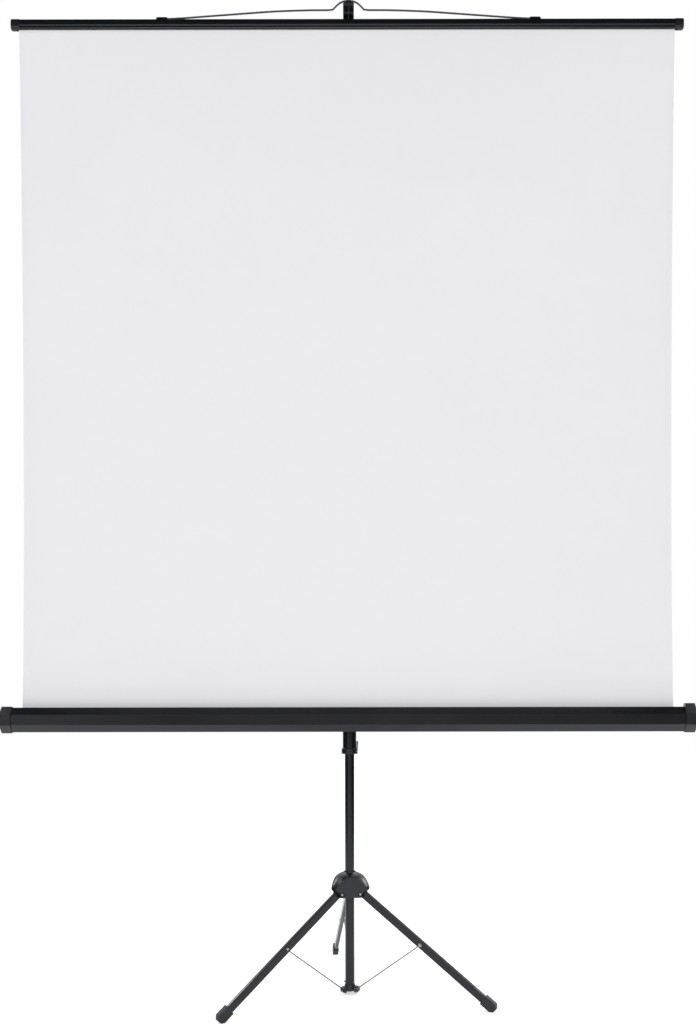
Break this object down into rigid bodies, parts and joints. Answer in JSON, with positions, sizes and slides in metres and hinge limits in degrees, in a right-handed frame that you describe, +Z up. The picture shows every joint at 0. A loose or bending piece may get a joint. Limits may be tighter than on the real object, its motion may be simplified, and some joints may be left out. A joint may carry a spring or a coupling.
{
  "type": "tripod projection screen",
  "caption": "Free-standing pull-up projection screen: white matte sheet on a spring roller in an octagonal casing, held by a wire bow on a telescopic mast with a folding tripod.",
  "frame": {"origin": "on the floor, under the middle of the part's bounding box", "axes": "+Z up, the sheet faces -Y, +X to the right as seen by the audience"},
  "size_m": [1.9022, 0.6808, 2.7668],
  "materials": {
    "coat": "satin",
    "plastic": "satin",
    "rubber": "matte",
    "zinc": "satin",
    "alloy": "satin",
    "sheet": "matte"
  },
  "bodies": {
    "mast": {"mast_tube": "coat", "mast_end_bracket": "plastic", "mast_guide": "plastic", "bracket_screw": "coat", "bracket_rivet_left": "coat", "bracket_rivet_right": "coat", "bracket_rivet_rear": "coat"},
    "hub": {"leg_hub": "plastic", "leg_pin_left": "zinc", "leg_pin_right": "zinc", "leg_pin_rear": "zinc"},
    "carrier": {"carrier_tube": "coat", "carrier_collar": "plastic", "lever_pin": "zinc", "clamp_head": "plastic", "casing_bracket": "plastic", "pivot_plate": "zinc", "pivot_bolt": "zinc", "casing": "coat", "casing_cap_left": "plastic", "casing_cap_right": "plastic", "spring_shaft": "zinc", "roller_spring": "zinc", "screen_sheet": "sheet"},
    "lever": {"lock_lever": "plastic"},
    "knob": {"clamp_knob": "plastic"},
    "roller": {"roller_tube": "alloy", "roller_plug_left": "plastic", "roller_plug_right": "plastic"},
    "extension": {"extension_tube": "alloy", "hook_head": "plastic"},
    "bar": {"top_bar": "coat", "bar_cap_left": "plastic", "bar_cap_right": "plastic", "hem_rod": "zinc", "bow_clip_left": "plastic", "bow_clip_right": "plastic"},
    "bow": {"wire_bow": "coat"},
    "leg_left": {"leg_left": "coat", "foot_left": "rubber", "strut_rivet_left": "zinc"},
    "strut_left": {"strut_left": "zinc"},
    "leg_right": {"leg_right": "coat", "foot_right": "rubber", "strut_rivet_right": "zinc"},
    "strut_right": {"strut_right": "zinc"},
    "leg_rear": {"leg_rear": "coat", "foot_rear": "rubber", "strut_rivet_rear": "zinc"},
    "strut_rear": {"strut_rear": "zinc"}
  },
  "joints": [
    {"name": "tripod_fold", "type": "hinge", "parent": "mast", "child": "strut_rear", "pos_m": [0.00086, -0.06005, 0.013], "axis": [0.9933, 0.116, 0], "range_deg": [0, 46.89]},
    {"name": "leg_rear_turn", "type": "hinge", "parent": "strut_rear", "child": "leg_rear", "pos_m": [-0.02137, 0.13035, 0.1587], "axis": [0.9933, 0.116, 0], "range_deg": [-99.2, 0]},
    {"name": "hub_rise", "type": "hinge", "parent": "leg_rear", "child": "hub", "pos_m": [-0.00134, -0.04118, 0.286], "axis": [0.9933, 0.116, 0], "range_deg": [0, 52.31]},
    {"name": "leg_left_turn", "type": "hinge", "parent": "hub", "child": "leg_left", "pos_m": [-0.02879, -0.10479, 0.286], "axis": [-0.5971, 0.8022, 0], "range_deg": [-52.31, 0]},
    {"name": "strut_left_turn", "type": "hinge", "parent": "mast", "child": "strut_left", "pos_m": [-0.01355, -0.09345, 0.013], "axis": [-0.5971, 0.8022, 0], "range_deg": [0, 47.09]},
    {"name": "leg_right_turn", "type": "hinge", "parent": "hub", "child": "leg_right", "pos_m": [0.04003, -0.09676, 0.286], "axis": [-0.3962, -0.9182, 0], "range_deg": [-52.31, 0]},
    {"name": "strut_right_turn", "type": "hinge", "parent": "mast", "child": "strut_right", "pos_m": [0.02258, -0.08923, 0.013], "axis": [-0.3962, -0.9182, 0], "range_deg": [0, 47.09]},
    {"name": "screen_height", "type": "slide", "parent": "mast", "child": "carrier", "axis": [0, 0, 1], "range_m": [-0.15, 0.3]},
    {"name": "lock_lever_pull", "type": "hinge", "parent": "carrier", "child": "lever", "pos_m": [0.0233, -0.08091, 0.685], "axis": [0, 1, 0], "range_deg": [0, 12], "stiffness_Nm_per_rad": 0.6},
    {"name": "extension_lower", "type": "slide", "parent": "carrier", "child": "extension", "axis": [0, 0, -1], "range_m": [0, 1.1], "deforming": ["screen_sheet"]},
    {"name": "bar_lower", "type": "slide", "parent": "carrier", "child": "bar", "axis": [0, 0, -1], "range_m": [0, 1.1]},
    {"name": "roller_wind", "type": "hinge", "parent": "carrier", "child": "roller", "pos_m": [0.0033, -0.14891, 0.773], "axis": [-1, 0, 0], "range_deg": [0, 4812.1]},
    {"name": "clamp_knob_turn", "type": "hinge", "parent": "carrier", "child": "knob", "pos_m": [0.0033, -0.08091, 1.434], "axis": [0, 1, 0], "range_deg": [0, 180]},
    {"name": "bow_swing", "type": "hinge", "parent": "bar", "child": "bow", "pos_m": [0.0033, -0.13581, 2.698], "axis": [1, 0, 0], "range_deg": [0, 80]}
  ],
  "couplings": [
    {"joint": "leg_rear_turn", "follows": "tripod_fold", "ratio": -2.1111},
    {"joint": "hub_rise", "follows": "tripod_fold", "ratio": 1.1111},
    {"joint": "leg_left_turn", "follows": "tripod_fold", "ratio": -1.1111},
    {"joint": "strut_left_turn", "follows": "tripod_fold", "ratio": 1},
    {"joint": "leg_right_turn", "follows": "tripod_fold", "ratio": -1.1111},
    {"joint": "strut_right_turn", "follows": "tripod_fold", "ratio": 1},
    {"joint": "bar_lower", "follows": "extension_lower", "ratio": 1},
    {"joint": "roller_wind", "follows": "extension_lower", "rad_per_m": 76.336}
  ]
}
